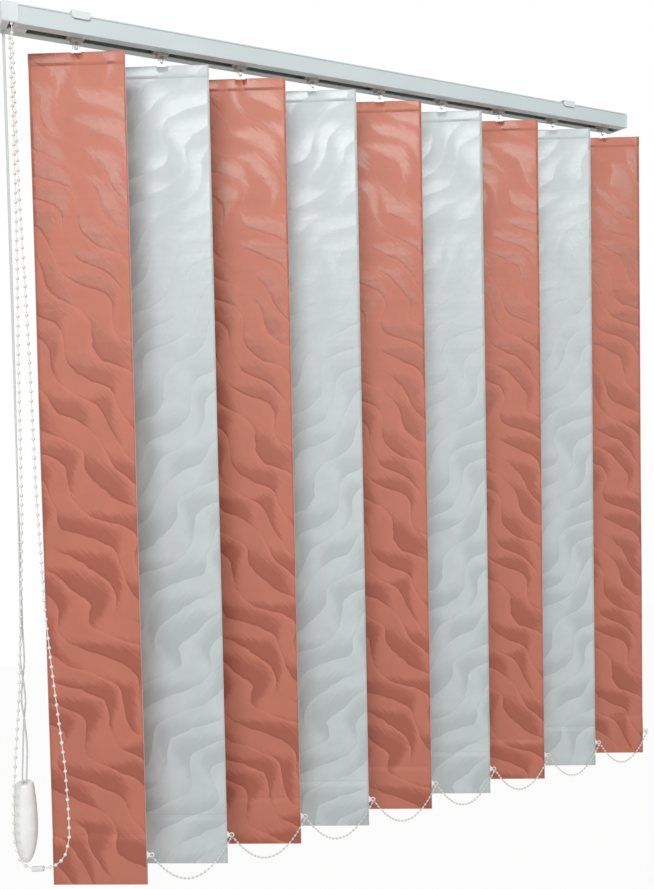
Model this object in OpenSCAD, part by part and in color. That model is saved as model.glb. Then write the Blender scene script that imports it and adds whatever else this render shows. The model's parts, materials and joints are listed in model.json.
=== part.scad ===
// Vertical blind: cloth vanes on a ceiling rail, tilted by a bead chain and drawn by a cord.
// X runs along the rail, -Y faces the room, Z is up and Z = 0 is the ceiling.
// The origin lies midway between the screws of the two ceiling brackets.

/* [Vanes] */
// Number of vanes
vane_count = 9; // [3:1:9]
// Width of a vane
vane_w = 127; // [112:1:132]
// Drop of a vane from its top fold to its bottom fold
vane_drop = 1100; // [1060:5:1400]
// Distance between the axes of two neighbouring vanes
vane_pitch = 115; // [105:1:125]
// Angle of the vanes from the line of the rail
rest_tilt = 30; // [22:1:60]
// Thickness of the cloth
cloth_t = 0.5; // [0.3:0.1:0.7]
// Height of the hem round the hanger
top_hem_h = 17; // [15:1:24]
// Height of the pocket round the bottom weight
bottom_hem_h = 68; // [56:1:90]
// Gap between the rail and the top fold of the vanes
hang_gap = 16; // [15:1:24]

/* [Hangers and bottom weights] */
// Thickness of the hanger plate
hanger_t = 1; // [0.8:0.1:1.4]
// Width of the hanger's tab
tab_w = 10; // [8:1:16]
// Thickness of the bottom weight
weight_t = 1.6; // [1.2:0.1:2]
// Room between the pocket's top and the bottom weight
weight_room = 8; // [4:1:14]
// Height of the chain ring above the bottom fold
ring_h = 40; // [24:1:48]
// Reach of the chain ring's centre past the edge of the vane
ring_reach = 6.5; // [6:0.1:8]
// Outer radius of the chain ring
ring_r = 3.6; // [3:0.1:4.2]

/* [Headrail] */
// Depth of the rail from the room to the wall
rail_w = 42; // [42:1:50]
// Height of the rail
rail_h = 24; // [24:0.5:30]
// Wall of the rail
rail_wall = 1.2; // [1:0.1:1.4]
// Width of the slot in the underside
slot_w = 14; // [14:0.5:16]
// Length of rail to the left of the first vane's axis
rail_left = 75; // [75:1:90]
// Length of rail to the right of the last vane's axis
rail_right = 33; // [33:1:60]
// Reach of the beads along the rail's top edges
bead_out = 1; // [0.8:0.1:1.4]
// Height of those beads
bead_h = 1.5; // [1.2:0.1:2]
// Radius of the rail's lower edges
rail_edge = 1; // [0.6:0.1:1.1]

/* [Ceiling brackets] */
// Left bracket's place from the rail's left end
bracket_inset_l = 77; // [40:1:120]
// Right bracket's place from the rail's right end
bracket_inset_r = 131; // [60:1:200]
// Length of a bracket along the rail
bracket_l = 24; // [18:1:36]
// Thickness of the bracket's metal
bracket_t = 1.5; // [1.2:0.1:2]
// Room above the rail for a screw head
screw_room = 2.5; // [2.5:0.1:4]
// Radius of the screw hole
screw_r = 2.25; // [1.8:0.05:2.6]
// Length of the bracket's legs
leg_l = 9.5; // [9:0.5:12]
// Radius of the legs' lower corners
leg_round = 4; // [2:0.5:4.5]

/* [Tilt gear] */
// Module of the worm gear
gear_module = 0.9; // [0.85:0.05:0.95]
// Teeth on the stem's gear
gear_teeth = 10; // [10:1:11]
// Pitch radius of the worm
worm_r = 5; // [4.9:0.1:5.2]
// Height of the gear on the stem
gear_h = 5; // [4:0.5:6]
// Free play between the worm and the gear, on each flank
flank_gap = 0.5; // [0.45:0.05:0.6]
// Radius over the corners of the six-sided tilt rod
rod_r = 2.3; // [2:0.1:2.4]
// Height of the rod's axis above the rail's underside
rod_h = 12; // [12:0.5:13]
// Radius of the stem's shaft
shaft_r = 2.5; // [2:0.1:2.8]

/* [Carriers] */
// Length of a carrier along the rail
carrier_l = 22; // [20:0.5:22]
// Width of the neck that comes through the slot
neck_l = 13; // [11:0.5:15]
// Reach of the neck below the rail
neck_drop = 4; // [3:0.5:5]
// Depth of the carrier's deck below the rail's top
carrier_low = 8.5; // [8:0.5:9]
// Thickness of a spacer strip
spacer_t = 0.3; // [0.2:0.05:0.4]
// Width of a spacer strip
spacer_w = 7; // [5:0.5:8]

/* [Draw cord] */
// Diameter of the draw cord
cord_d = 2.2; // [1.8:0.1:2.4]
// Pitch radius of the pulleys above the cord weight
pulley_r = 4.5; // [4.2:0.1:4.8]
// Distance of the nearer cord from the rail's middle
cord_y1 = 8.5; // [8.3:0.1:9]
// Distance of the further cord from the rail's middle
cord_y2 = 16; // [15.6:0.1:16.2]
// Depth of the cords below the rail's top
cord_low = 7; // [6.5:0.1:7.5]
// Largest radius of the cord weight
bob_r = 15; // [13:0.5:16]
// Length of the cord weight
bob_l = 106; // [90:1:110]
// Drop of the cord weight's top below the vanes' top fold
bob_drop = 946; // [930:1:970]
// Distance of the cord weight from the first vane's axis
bob_left = 92; // [90:0.5:94]

/* [Bead chains] */
// Radius of a bead on the control chain
bead_r = 2.25; // [2:0.05:2.4]
// Pitch of the beads on the control chain
bead_pitch = 12; // [11.5:0.1:12.2]
// Radius of a bead on the bottom chain
small_bead_r = 1.6; // [1.2:0.1:1.8]
// Pitch of the beads on the bottom chain
small_bead_pitch = 8; // [7:0.5:10]
// Sag of the bottom chain between two vanes
chain_sag = 46; // [40:1:56]

/* [End caps] */
// Length of the control end cap
cap_l = 20; // [20:0.5:24]
// Height of the control end cap above the rail
cap_rise = 2; // [1:0.25:2.5]
// Wall of the end caps
cap_wall = 1.5; // [1.2:0.1:1.6]
// Thickness of the return end cap
end_plate = 4; // [3:0.5:6]
// Length of the tongue in the rail's slot
tongue_l = 13; // [8:1:20]
// Distance of the chain sprocket from the rail's left end
sprocket_in = 8; // [7.6:0.1:8.4]
// Thickness of the chain sprocket
sprocket_t = 7; // [6:0.5:7]

/* [Hidden] */
$fn = 48;
// Running clearance between pieces that turn or slide
fit = 0.3;
// Clearance of a piece inside a cloth pocket
pocket_gap = 0.2;
// Overlap that lets a cut pass a face
eps = 0.5;

// Heights
rail_top = -(bracket_t + screw_room);
rail_bot = rail_top - rail_h;
vane_top = rail_bot - hang_gap;
vane_bot = vane_top - vane_drop;
lip_top = rail_bot + rail_wall;

// Places along the rail
rail_l = rail_left + (vane_count - 1) * vane_pitch + rail_right;
bracket_gap = rail_l - bracket_inset_l - bracket_inset_r;
rail_x0 = -bracket_gap / 2 - bracket_inset_l;
rail_x1 = rail_x0 + rail_l;
first_x = rail_x0 + rail_left;
last_x = first_x + (vane_count - 1) * vane_pitch;
function vane_x(k) = first_x + (k - 1) * vane_pitch;

// Tilt gear
gear_r = gear_module * gear_teeth / 2;
rod_y = -(gear_r + worm_r);
rod_z = rail_bot + rod_h;
tooth_out = 0.9 * gear_module;
tooth_in = 1.25 * gear_module;
thread_lead = PI * gear_module;
tooth_w = PI * gear_module / 2 - flank_gap;
tooth_slope = tan(20);
worm_half = 5;
worm_end = worm_half + fit;
journal_r = rod_r + 0.8;
journal_half = 8.5;
bore_r = rod_r + fit;

// Stem, hook and hanger
neck_bot = rail_bot - neck_drop;
head_h = 1.6;
hook_w = 3;
hook_leg = 1.6;
hook_in = hanger_t / 2 + 0.5;
hook_out = hook_in + hook_leg;
hook_bar = 1.8;
head_bot = neck_bot - fit - head_h;
tab_top = head_bot - 1;
tab_bar = 3;
hole_top = tab_top - tab_bar;
bar_top = hole_top - fit;
bar_bot = bar_top - hook_bar;
hole_bot = bar_bot - 1.2;
hole_w = hook_w + 2;
top_in = hanger_t / 2 + pocket_gap;
hanger_top = vane_top - cloth_t - top_in;
hanger_h = top_hem_h - 2 * cloth_t - 2;
hanger_half = vane_w / 2 - 3;

// Bottom weight and its ring
low_in = weight_t / 2 + pocket_gap;
weight_bot = vane_bot + cloth_t + low_in;
weight_h = bottom_hem_h - weight_room;
weight_half = vane_w / 2 - 1;
ring_x = vane_w / 2 + ring_reach;
ring_z = vane_bot + ring_h;
ring_hole = 2;

// Carriers
carrier_half = rail_w / 2 - rail_wall - 1.3;
carrier_top = rail_top - carrier_low;
foot_gap = 0.2;
neck_half = slot_w / 2 - 0.6;
cord_hole = cord_d / 2 + 0.5;
rib_y = cord_y1 - cord_hole - 0.6;
rib_top = rail_top - cord_low + cord_hole + 2;

// Spacer strips, each on a level of its own above the carriers' decks
spacer_gap = 0.25;
spacer_half = carrier_l / 2 - 2;
spacer_past = 8;
function spacer_z(k) = carrier_top + spacer_gap + (k - 1) * (spacer_t + spacer_gap);

// Cord
cord_z = rail_top - cord_low;
cord_r = cord_d / 2;
return_r = (cord_y2 - cord_y1) / 2;
return_x = rail_x1 - 9;
pulley_x = rail_x0 - 8.5;
pulley_z = cord_z - pulley_r;
axle_r = 1.4;
pulley_h = 5;
flange_over = cord_r;
// Room round the cord in a pulley's groove
groove_room = 0.5;
// Where the two hanging cords end at the weight, from the first vane's axis and top fold
bob_x = first_x - bob_left;
bob_y = (cord_y1 + cord_y2) / 2;
bob_top = vane_top - bob_drop;
turn_pin_r = 1.5;
turn_r = turn_pin_r + cord_r;
turn_depth = 16;

// Control chain
sprocket_x = rail_x0 - sprocket_in;
pocket_r = bead_pitch / sqrt(2);
link_r = 0.6;
small_link_r = 0.45;

// Hanging loop of the control chain from the front of the sprocket round to its back,
// from the first vane's axis and top fold
CHAIN_ROUTE = [
    [-82, -18, -120], [-80, -18, -220], [-77, -18, -310], [-75, -20, -395], [-74, -22, -480],
    [-73, -25, -565], [-71, -30, -635], [-69, -36, -710], [-65, -43, -775], [-60, -50, -840],
    [-54, -56, -910], [-52, -59, -970], [-52, -59, -1000], [-56, -56, -1020], [-63, -46, -1036],
    [-75, -27, -1047], [-94, -14, -1049], [-104, -9, -1038], [-110, -6, -1010], [-109, -5, -960],
    [-104, -4, -895], [-98, -3, -830], [-94, -3, -755], [-90, -2, -670], [-87, -2, -590],
    [-86, -1, -500], [-85, -1, -400], [-83, -1, -290], [-82, -1, -200], [-82, -1, -110]
];
// First and last hanging points of the two cords, with a full twist above the weight
CORD_DOWN = [[-88, 8, -250], [-89, 9, -500], [-91, 10, -740], [-92.5, 12.5, -785], [-90, 9.5, -812],
    [-87.5, 12.5, -838], [-90, 15, -866], [-92.5, 12.5, -900]];
CORD_UP = [[-87.5, 12, -900], [-90, 9.5, -866], [-92.5, 12, -838], [-90, 15, -812], [-87.5, 12, -785],
    [-88, 15, -740], [-88, 16, -500], [-88, 16, -250]];

// Helpers for points
function unit(v) = v / norm(v);
function lengths(p) = [for (i = 0, s = 0; i < len(p); i = i + 1,
    s = s + (i < len(p) ? norm(p[i] - p[i - 1]) : 0)) s];
function along(p, ls, s) = [for (a = [0:2]) lookup(s, [for (i = [0:len(p) - 1]) [ls[i], p[i][a]]])];
function from_first(p) = [first_x + p[0], p[1], vane_top + p[2]];

// Runs a drawing of the Y and Z axes along X
module along_x(l) {
    rotate([90, 0, 90]) linear_extrude(l) children();
}

// A rectangle with round corners, centred on X
module round_rect(w, h, r) {
    translate([-w / 2 + r, 0]) square([w - 2 * r, h]);
    translate([-w / 2, r]) square([w, h - 2 * r]);
    for (x = [-1, 1], y = [r, h - r]) translate([x * (w / 2 - r), y]) circle(r);
}

// A strip of cloth's section with both ends round
module stadium(r, z0, z1) {
    translate([-r, z0 + r]) square([2 * r, z1 - z0 - 2 * r]);
    for (z = [z0 + r, z1 - r]) translate([0, z]) circle(r);
}

// A cylinder from one point to another
module rod_between(a, b, r) {
    d = b - a;
    translate(a) rotate([0, acos(d[2] / norm(d)), atan2(d[1], d[0])]) cylinder(h = norm(d), r = r);
}

// Beads at some of the points, with a flat at each end where the string goes in, and a link between neighbours
bead_flat = 0.85;
knot = 2.6;
module bead_string(points, beads, r, link) {
    for (i = [0:len(points) - 1]) {
        d = unit(points[min(i + 1, len(points) - 1)] - points[max(i - 1, 0)]);
        translate(points[i]) rotate([0, acos(d[2]), atan2(d[1], d[0])]) {
            if (beads[i]) intersection() {
                sphere(r = r);
                cube([4 * r, 4 * r, 2 * bead_flat * r], center = true);
            }
            else cube(knot * link, center = true);
        }
    }
    for (i = [0:len(points) - 2]) {
        way = unit(points[i + 1] - points[i]);
        rod_between(points[i] + way * (beads[i] ? r / 2 : link * 0.7),
            points[i + 1] - way * (beads[i + 1] ? r / 2 : link * 0.7), link);
    }
}

// A round tube along a line of points, with rings that turn as little as they can
TUBE_SIDES = 8;
function tube_ways(p) = [for (i = [0:len(p) - 1])
    unit(p[min(i + 1, len(p) - 1)] - p[max(i - 1, 0)])];
function carried(n, t) = unit(n - (n * t) * t);
function tube_sides(ts) = [for (i = 0, n = carried([0, 1, 0.2], ts[0]); i < len(ts); i = i + 1,
    n = i < len(ts) ? carried(n, ts[i]) : n) n];
module tube(p, r) {
    ts = tube_ways(p);
    ns = tube_sides(ts);
    points = [for (i = [0:len(p) - 1], j = [0:TUBE_SIDES - 1])
        p[i] + r * (cos(360 * j / TUBE_SIDES) * ns[i] + sin(360 * j / TUBE_SIDES) * cross(ts[i], ns[i]))];
    last = (len(p) - 1) * TUBE_SIDES;
    polyhedron(points, concat(
        [[for (j = [0:TUBE_SIDES - 1]) j]],
        [[for (j = [TUBE_SIDES - 1:-1:0]) last + j]],
        [for (i = [0:len(p) - 2], j = [0:TUBE_SIDES - 1]) let (a = i * TUBE_SIDES, k = (j + 1) % TUBE_SIDES)
            [a + j, a + TUBE_SIDES + j, a + TUBE_SIDES + k, a + k]]));
}

// Rail: a box section with a slot below and a bead along each top edge
module headrail() {
    color("aliceblue") translate([rail_x0, 0, 0]) along_x(rail_l) difference() {
        union() {
            translate([0, rail_bot]) round_rect(rail_w, rail_h, rail_edge);
            translate([-rail_w / 2 - bead_out, rail_top - bead_h]) square([rail_w + 2 * bead_out, bead_h]);
        }
        translate([-rail_w / 2 + rail_wall, lip_top])
            square([rail_w - 2 * rail_wall, rail_h - 2 * rail_wall]);
        translate([-slot_w / 2, rail_bot - eps]) square([slot_w, rail_wall + 2 * eps]);
    }
}

cap_w = rail_w + 2 * bead_out;
cap_top = rail_top + cap_rise;
cap_x0 = rail_x0 - cap_l;
plug_l = 10;
plug_t = 2;

// Two side plates that plug into the end of the rail, from its end inwards
module rail_plugs(x, l) {
    out = rail_w / 2 - rail_wall - 0.2;
    for (side = [-1, 1]) {
        translate([x, side > 0 ? out - plug_t : -out, lip_top + 0.2])
            cube([l, plug_t, rail_h - 2 * rail_wall - 0.4]);
    }
}

// Control end cap: a rounded housing for the sprocket and the two pulleys
module control_end_cap() {
    in_w = cap_w - 2 * cap_wall;
    in_x0 = cap_x0 + cap_wall;
    in_l = cap_l - 2 * cap_wall;
    boss_l = 3;
    color("whitesmoke") difference() {
        union() {
            difference() {
                translate([cap_x0, 0, 0]) along_x(cap_l)
                    translate([0, rail_bot]) round_rect(cap_w, cap_top - rail_bot, 3);
                translate([in_x0, -in_w / 2, rail_bot + cap_wall])
                    cube([in_l, in_w, cap_top - rail_bot - 2 * cap_wall]);
            }
            // bearing of the sprocket's outer journal
            translate([in_x0 - eps, rod_y, rod_z]) rotate([0, 90, 0]) cylinder(h = boss_l + eps, r = journal_r + 2);
            // axle of the pulleys, with a collar on each side of the further one
            translate([pulley_x, in_w / 2 + eps, pulley_z]) rotate([90, 0, 0])
                cylinder(h = in_w / 2 + eps - cord_y1 + pulley_h / 2, r = axle_r);
            for (y = [[in_w / 2 + eps, cord_y2 + pulley_h / 2 + fit],
                      [cord_y2 - pulley_h / 2 - fit, cord_y1 + pulley_h / 2 + fit]])
                translate([pulley_x, y[0], pulley_z]) rotate([90, 0, 0]) cylinder(h = y[0] - y[1], r = axle_r + 0.8);
            rail_plugs(rail_x0 - eps, plug_l + eps);
            // tongue that fills the end of the slot
            translate([rail_x0 - eps, -neck_half, rail_bot])
                cube([tongue_l + eps, 2 * neck_half, rail_wall + 2]);
        }
        // journals of the sprocket
        translate([in_x0, rod_y, rod_z]) rotate([0, 90, 0]) cylinder(h = cap_l, r = journal_r + fit / 2);
        // way out for both sides of the bead chain
        translate([sprocket_x - bead_r - 0.8, -in_w / 2, rail_bot - eps])
            cube([2 * bead_r + 1.6, in_w / 2 + rod_y + pocket_r + bead_r + 0.8, cap_wall + 2 * eps]);
        // ways for the cords, down and into the rail
        for (y = [cord_y1, cord_y2]) {
            translate([pulley_x - pulley_r, y, rail_bot - eps]) cylinder(h = cap_wall + 2 * eps, r = cord_hole);
            translate([rail_x0 - cap_wall - eps, y, cord_z]) rotate([0, 90, 0])
                cylinder(h = cap_wall + plug_l + 2 * eps, r = cord_hole);
        }
    }
}

// Return end cap: an end plate with the rod's bearing and a fork for the return pulley
module return_end_cap() {
    bearing_l = 5;
    shelf_t = 2;
    fork_w = 2 * (return_r + cord_r);
    fork_y = (cord_y1 + cord_y2) / 2;
    color("whitesmoke") difference() {
        union() {
            translate([rail_x1, 0, 0]) along_x(end_plate)
                translate([0, rail_bot]) round_rect(cap_w, rail_h, 2);
            translate([rail_x1 - plug_l, 0, 0]) rail_plugs(0, plug_l + eps);
            translate([rail_x1 - bearing_l, rod_y, rod_z]) rotate([0, 90, 0])
                cylinder(h = bearing_l + eps, r = rod_r + 2.5);
            for (z = [cord_z - pulley_h / 2 - fit - shelf_t, cord_z + pulley_h / 2 + fit])
                translate([return_x, fork_y - fork_w / 2, z]) {
                    cube([rail_x1 - return_x + eps, fork_w, shelf_t]);
                    translate([0, fork_w / 2, 0]) cylinder(h = shelf_t, r = fork_w / 2);
                }
            translate([return_x, fork_y, cord_z - pulley_h / 2 - fit - eps])
                cylinder(h = pulley_h + 2 * fit + 2 * eps, r = axle_r);
        }
        translate([rail_x1 - bearing_l - eps, rod_y, rod_z]) rotate([0, 90, 0])
            cylinder(h = bearing_l + eps, r = rod_r + fit / 2);
    }
}

// Spring clips that hook under the beads of the rail
module ceiling_brackets() {
    leg_in = rail_w / 2 + bead_out + fit;
    leg_out = leg_in + bracket_t;
    hook_top = rail_top - bead_h - fit;
    color("white") for (x = [-1, 1] * bracket_gap / 2) translate([x - bracket_l / 2, 0, 0]) difference() {
        along_x(bracket_l) {
            translate([-leg_out, -bracket_t]) square([2 * leg_out, bracket_t]);
            for (side = [0, 1]) mirror([side, 0]) {
                polygon([[leg_in, 0], [leg_out, 0], [leg_out, -leg_l], [leg_in, -leg_l],
                    [leg_in, hook_top - bracket_t], [leg_in - bead_out, hook_top - bracket_t / 2],
                    [leg_in - bead_out, hook_top], [leg_in, hook_top]]);
            }
        }
        translate([bracket_l / 2, 0, -bracket_t - eps]) cylinder(h = bracket_t + 2 * eps, r = screw_r);
        for (end = [0, 1]) translate([end * bracket_l, 0, -leg_l]) mirror([end, 0, 0])
            translate([0, leg_out + eps, 0]) rotate([90, 0, 0]) linear_extrude(2 * (leg_out + eps)) difference() {
                translate([-eps, -eps]) square(leg_round + eps);
                translate([leg_round, leg_round]) circle(leg_round);
            }
    }
}

// Six-sided rod that turns every worm
module tilt_rod() {
    x0 = cap_x0 + 2 * cap_wall;
    color("silver") translate([x0, rod_y, rod_z]) rotate([0, 90, 0])
        cylinder(h = rail_x1 - 0.5 - x0, r = rod_r, $fn = 6);
}

// Sprocket with four bead pockets and a groove for the links
module chain_sprocket() {
    groove_w = 2 * link_r + 0.8;
    groove_r = pocket_r / sqrt(2) - link_r - 0.4;
    left = cap_x0 + 2 * cap_wall + 0.2;
    color("gainsboro") translate([0, rod_y, rod_z]) difference() {
        union() {
            translate([sprocket_x - sprocket_t / 2, 0, 0]) rotate([0, 90, 0])
                cylinder(h = sprocket_t, r = pocket_r - 0.3);
            translate([left, 0, 0]) rotate([0, 90, 0]) cylinder(h = rail_x0 - left, r = journal_r);
        }
        translate([sprocket_x, 0, 0]) rotate([0, 90, 0]) rotate_extrude()
            translate([groove_r, -groove_w / 2]) square([pocket_r, groove_w]);
        for (a = [0:90:270]) translate([sprocket_x, pocket_r * cos(a), pocket_r * sin(a)]) sphere(r = bead_r + 0.25);
        translate([left - eps, 0, 0]) rotate([0, 90, 0]) cylinder(h = rail_x0 - left + 2 * eps, r = bore_r, $fn = 6);
    }
}

// Bead chain: a loop over the sprocket whose two ends meet in the connector
pocket_top = [sprocket_x, rod_y, rod_z + pocket_r];
pocket_front = [sprocket_x, rod_y - pocket_r, rod_z];
pocket_back = [sprocket_x, rod_y + pocket_r, rod_z];
chain_line = concat([pocket_front], [for (p = CHAIN_ROUTE) from_first(p)], [pocket_back]);
chain_ls = lengths(chain_line);
chain_steps = round(chain_ls[len(chain_ls) - 1] / bead_pitch);
chain_step = chain_ls[len(chain_ls) - 1] / chain_steps;
loop_beads = concat([for (i = [0:chain_steps]) along(chain_line, chain_ls, i * chain_step)], [pocket_top]);
// The connector sits on the straight stretch that starts at this point of the line
connector_at = 16;
connector_s = (chain_ls[connector_at] + chain_ls[connector_at + 1]) / 2;
first_past = ceil(connector_s / chain_step);
chain_beads = [for (i = [0:len(loop_beads) - 1]) loop_beads[(i + first_past) % len(loop_beads)]];

module control_chain() {
    color("white") bead_string(chain_beads, [for (p = chain_beads) true], bead_r, link_r);
}

// Clip that joins the ends of the bead chain
connector_l = 15;
module chain_connector() {
    middle = along(chain_line, chain_ls, connector_s);
    half = unit(chain_line[connector_at + 1] - chain_line[connector_at]) * connector_l / 2;
    color("white") difference() {
        rod_between(middle - half, middle + half, bead_r + 1.1);
        rod_between(middle - half * 1.1, middle + half * 1.1, bead_r + 0.3);
    }
}

// One cord: from the last carrier to the control end, down, round the weight, up and round the return pulley
function arc(c, r, a0, a1, n, u, v) = [for (i = [0:n]) let (a = a0 + (a1 - a0) * i / n)
    c + r * (cos(a) * u + sin(a) * v)];
X = [1, 0, 0];
Y = [0, 1, 0];
Z = [0, 0, 1];
cord_start = [last_x, cord_y1, cord_z];
draw_line = concat(
    [cord_start],
    arc([pulley_x, cord_y1, pulley_z], pulley_r, 90, 180, 4, X, Z),
    [for (p = CORD_DOWN) from_first(p)],
    [[bob_x - turn_r, bob_y, bob_top]],
    arc([bob_x, bob_y, bob_top - turn_depth], turn_r, 180, 360, 4, X, Z),
    [[bob_x + turn_r, bob_y, bob_top]],
    [for (p = CORD_UP) from_first(p)],
    arc([pulley_x, cord_y2, pulley_z], pulley_r, 180, 90, 4, X, Z),
    arc([return_x, (cord_y1 + cord_y2) / 2, cord_z], return_r, 90, -90, 6, X, Y),
    [cord_start + [1, 0, 0]]
);

module draw_cord() {
    color("white") tube(draw_line, cord_r);
}

// Drop-shaped weight with a mouth and a pin that the cord turns round
// An egg: half an ellipse below the widest place, drawn in a little above it and rounded at the top edge
bob_wide = 0.485;
bob_draw = 0.26;
bob_edge = 0.02;
BOB_STEPS = 16;
function bob_share(t) = t < bob_wide
    ? sqrt(1 - pow((bob_wide - t) / bob_wide, 2))
    : 1 - bob_draw * pow((t - bob_wide) / (1 - bob_wide), 2);
bob_shape = concat(
    [for (i = [1:BOB_STEPS]) let (t = bob_wide * (1 - cos(90 * i / BOB_STEPS))) [t, bob_share(t)]],
    [for (i = [1:BOB_STEPS]) let (t = bob_wide + (1 - bob_edge - bob_wide) * i / BOB_STEPS) [t, bob_share(t)]],
    [[1 - bob_edge / 3, bob_share(1) - bob_edge * 1.2], [1, bob_share(1) - bob_edge * 4]]
);
module cord_weight() {
    mouth_r = turn_r + cord_r + fit;
    color("white") translate([bob_x, bob_y, bob_top - bob_l]) difference() {
        rotate_extrude() polygon(concat([[0, 0]], [for (p = bob_shape) [bob_r * p[1], bob_l * p[0]]], [[0, bob_l]]));
        difference() {
            union() {
                translate([0, 0, bob_l - turn_depth]) cylinder(h = turn_depth + eps, r = mouth_r);
                translate([0, 0, bob_l - turn_depth]) sphere(r = mouth_r);
            }
            translate([0, mouth_r + eps, bob_l - turn_depth]) rotate([90, 0, 0])
                cylinder(h = 2 * (mouth_r + eps), r = turn_pin_r - 0.2);
        }
    }
}

// Grooved pulley about Z
module grooved_pulley(pitch_r) {
    bore = axle_r + 0.15;
    rim = pitch_r + flange_over;
    half = pulley_h / 2;
    lip = 0.6;
    floor_r = pitch_r - cord_r - groove_room;
    floor_half = cord_r * 0.9;
    rotate_extrude() polygon([[bore, -half], [rim, -half], [rim, lip - half], [floor_r, -floor_half],
        [floor_r, floor_half], [rim, half - lip], [rim, half], [bore, half]]);
}

module control_pulley_near() {
    color("gainsboro") translate([pulley_x, cord_y1, pulley_z]) rotate([90, 0, 0]) grooved_pulley(pulley_r);
}

module control_pulley_far() {
    color("gainsboro") translate([pulley_x, cord_y2, pulley_z]) rotate([90, 0, 0]) grooved_pulley(pulley_r);
}

module return_pulley() {
    color("gainsboro") translate([return_x, (cord_y1 + cord_y2) / 2, cord_z]) grooved_pulley(return_r);
}

// Carrier: glides on the rail's lips, holds the worm and the stem's gear, and is threaded on the cords
module carrier(k) {
    base = lip_top + foot_gap;
    chamfer = 3;
    color("gainsboro") translate([vane_x(k), 0, 0]) {
        difference() {
            union() {
                translate([-carrier_l / 2, 0, 0]) along_x(carrier_l) polygon([
                    [-carrier_half, base], [carrier_half, base], [carrier_half, rib_top], [rib_y, rib_top],
                    [rib_y, carrier_top], [-carrier_half + chamfer, carrier_top],
                    [-carrier_half, carrier_top - chamfer]]);
                translate([-neck_l / 2, -neck_half, neck_bot]) cube([neck_l, 2 * neck_half, base - neck_bot + eps]);
            }
            // open trough for the worm and its journals
            translate([-worm_end, 0, 0]) along_x(2 * worm_end) trough(worm_r + tooth_out + fit + 0.1);
            translate([-carrier_l / 2 - eps, 0, 0]) along_x(carrier_l + 2 * eps) trough(journal_r + fit / 2);
            // open well for the gear, with a bore for the shaft
            translate([0, 0, rod_z - gear_h / 2 - fit])
                cylinder(h = carrier_top - rod_z + gear_h, r = gear_r + tooth_out + fit + 0.1);
            translate([0, 0, neck_bot - eps]) cylinder(h = rod_z - neck_bot, r = shaft_r + fit / 2);
            for (y = [cord_y1, cord_y2]) translate([-carrier_l / 2 - eps, y, cord_z]) rotate([0, 90, 0])
                cylinder(h = carrier_l + 2 * eps, r = cord_hole);
            // slit in the rib for the spacer's tab
            if (k < vane_count) translate([-spacer_half - 0.2, rib_y - eps, spacer_z(k) - 0.1])
                cube([2 * spacer_half + 0.4, spacer_tab + eps + 0.2, spacer_t + 0.2]);
        }
        if (k < vane_count) spacer(k);
    }
}

// Spacer: a strip that a carrier pulls the next one along by, with a tab in the carrier's rib
spacer_tab = 0.5;
module spacer(k) {
    translate([-spacer_half, -spacer_w / 2, spacer_z(k)])
        cube([vane_pitch + spacer_half + carrier_l / 2 + spacer_past, spacer_w, spacer_t]);
    translate([-spacer_half, 0, spacer_z(k)]) cube([2 * spacer_half, rib_y + spacer_tab, spacer_t]);
}

// A round groove about the rod that is open upwards
module trough(r) {
    translate([rod_y, rod_z]) circle(r);
    translate([rod_y - r, rod_z]) square([2 * r, carrier_top - rod_z + eps]);
}

// Worm: a threaded sleeve that slides along the rod and turns with it
THREAD_STEPS = 12;
module worm(k) {
    turns = (2 * worm_half - tooth_w - 2 * tooth_in * tooth_slope - 0.8) / thread_lead;
    steps = floor(turns * THREAD_STEPS);
    root = worm_r - tooth_in;
    base_r = root - 0.5;
    tip_r = worm_r + tooth_out;
    tip_w = tooth_w / 2 - tooth_out * tooth_slope;
    base_w = tooth_w / 2 + (worm_r - base_r) * tooth_slope;
    section = [[base_r, -base_w], [tip_r, -tip_w], [tip_r, tip_w], [base_r, base_w]];
    points = [for (i = [0:steps], s = section) let (turn = i - steps / 2, a = 360 * turn / THREAD_STEPS)
        [thread_lead * turn / THREAD_STEPS + s[1], s[0] * cos(a), s[0] * sin(a)]];
    last = 4 * steps;
    color("lightgray") translate([vane_x(k), rod_y, rod_z]) difference() {
        union() {
            translate([-worm_half, 0, 0]) rotate([0, 90, 0]) cylinder(h = 2 * worm_half, r = root);
            translate([-journal_half, 0, 0]) rotate([0, 90, 0]) cylinder(h = 2 * journal_half, r = journal_r);
            polyhedron(points, concat([[3, 2, 1, 0]], [[last, last + 1, last + 2, last + 3]],
                [for (i = [0:steps - 1], j = [0:3]) let (n = (j + 1) % 4)
                    [4 * i + j, 4 * i + n, 4 * i + 4 + n, 4 * i + 4 + j]]));
        }
        translate([-journal_half - eps, 0, 0]) rotate([0, 90, 0])
            cylinder(h = 2 * (journal_half + eps), r = bore_r, $fn = 6);
    }
}

// Outline of the gear, with a gap towards the worm
module gear_outline() {
    root = gear_r - tooth_in;
    tip = gear_r + tooth_out;
    tip_w = tooth_w / 2 - tooth_out * tooth_slope;
    base_w = tooth_w / 2 + tooth_in * tooth_slope;
    circle(root + 0.05);
    for (i = [0:gear_teeth - 1]) rotate(-90 + (i + 0.5) * 360 / gear_teeth)
        polygon([[0, -base_w], [root, -base_w], [tip, -tip_w], [tip, tip_w], [root, base_w], [0, base_w]]);
}

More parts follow.
